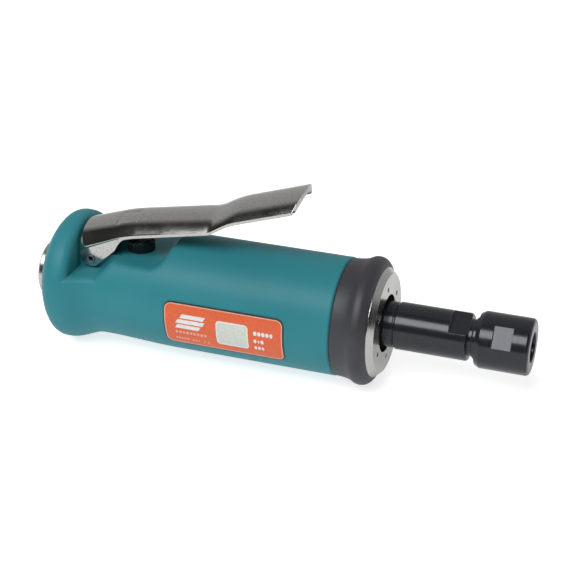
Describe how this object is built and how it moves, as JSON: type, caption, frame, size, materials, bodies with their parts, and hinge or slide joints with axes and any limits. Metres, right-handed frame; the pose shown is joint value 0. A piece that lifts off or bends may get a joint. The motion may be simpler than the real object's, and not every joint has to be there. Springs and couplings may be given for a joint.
{
  "type": "pneumatic die grinder",
  "caption": "Straight air die grinder: round casing with waist and rear flange, arched steel throttle lever, front lock ring, spindle nose and slotted collet held by a collet nut.",
  "frame": {"origin": "mouth of the collet bore, on the spindle axis", "axes": "+X along the spindle towards the collet, +Z towards the lever, +Y to the far side"},
  "size_m": [0.174, 0.0456, 0.0685],
  "materials": {
    "teal_casing": "satin moulded teal coating",
    "collar_rubber": "soft dark grey",
    "satin_steel": "satin",
    "nickel_lever": "polished nickel plate",
    "black_oxide": "black oxide steel",
    "orange_label": "printed film",
    "bearing_steel": "ground",
    "motor_iron": "machined",
    "brass": "turned",
    "blade_composite": "phenolic",
    "seal_rubber": "nitrile",
    "felt": "pressed felt",
    "knob_black": "black anodised"
  },
  "bodies": {
    "casing": {"housing": "teal_casing", "exhaust_collar": "collar_rubber", "lock_ring": "satin_steel", "muffler_ring": "felt", "lock_ring_o_ring": "seal_rubber", "nameplate": "orange_label", "lever_pin": "black_oxide", "regulator_retaining_ring": "satin_steel", "valve_seat": "brass", "valve_spring": "satin_steel", "inlet_bushing": "satin_steel", "inlet_screen": "brass", "inlet_gasket": "seal_rubber", "front_end_plate": "motor_iron", "rear_end_plate": "motor_iron", "locating_pin": "bearing_steel", "cylinder": "motor_iron", "wave_washer": "bearing_steel", "front_bearing_outer_race": "bearing_steel", "rear_bearing_outer_race": "bearing_steel"},
    "lever": {"throttle_lever": "nickel_lever"},
    "stem": {"valve_stem": "satin_steel"},
    "regulator": {"speed_regulator": "knob_black", "regulator_o_ring": "seal_rubber", "stem_o_ring": "seal_rubber"},
    "tip_valve": {"tip_valve": "satin_steel"},
    "spindle": {"rotor": "bearing_steel", "rotor_blades": "blade_composite", "bearing_spacer": "bearing_steel", "collet_body": "black_oxide", "front_bearing_inner_race": "bearing_steel", "rear_bearing_inner_race": "bearing_steel"},
    "front_cage": {"front_bearing_balls": "bearing_steel", "front_bearing_cage": "brass"},
    "rear_cage": {"rear_bearing_balls": "bearing_steel", "rear_bearing_cage": "brass"},
    "collet": {"collet": "black_oxide"},
    "cap": {"collet_cap": "black_oxide"}
  },
  "joints": [
    {"name": "lever_press", "type": "hinge", "parent": "casing", "child": "lever", "pos_m": [-0.1507, 0, 0.0115], "axis": [0, 1, 0], "range_deg": [0, 10.5]},
    {"name": "stem_slide", "type": "slide", "parent": "casing", "child": "stem", "axis": [0, 0, -1], "range_m": [0, 0.0032]},
    {"name": "tip_valve_tilt", "type": "hinge", "parent": "casing", "child": "tip_valve", "pos_m": [-0.1495, 0, 0.0055], "axis": [0, 1, 0], "range_deg": [0, 12.5], "deforming": ["valve_spring"]},
    {"name": "regulator_turn", "type": "hinge", "parent": "casing", "child": "regulator", "pos_m": [-0.1359, 0, 0.0155], "axis": [0, 0, 1], "range_deg": [0, 90]},
    {"name": "spindle_spin", "type": "hinge", "parent": "casing", "child": "spindle", "pos_m": [-0.088, 0, 0], "axis": [1, 0, 0], "continuous": true},
    {"name": "front_cage_spin", "type": "hinge", "parent": "casing", "child": "front_cage", "pos_m": [-0.062, 0, 0], "axis": [1, 0, 0], "continuous": true},
    {"name": "rear_cage_spin", "type": "hinge", "parent": "casing", "child": "rear_cage", "pos_m": [-0.114, 0, 0], "axis": [1, 0, 0], "continuous": true},
    {"name": "collet_slide", "type": "slide", "parent": "spindle", "child": "collet", "axis": [1, 0, 0], "range_m": [0, 0.0012]},
    {"name": "cap_turn", "type": "hinge", "parent": "collet", "child": "cap", "pos_m": [-0.0065, 0, 0], "axis": [1, 0, 0], "range_deg": [0, 345]}
  ],
  "couplings": [
    {"joint": "stem_slide", "follows": "lever_press", "m_per_rad": 0.0158},
    {"joint": "tip_valve_tilt", "follows": "lever_press", "ratio": 1.115},
    {"joint": "front_cage_spin", "follows": "spindle_spin", "ratio": 0.4},
    {"joint": "rear_cage_spin", "follows": "spindle_spin", "ratio": 0.4}
  ]
}
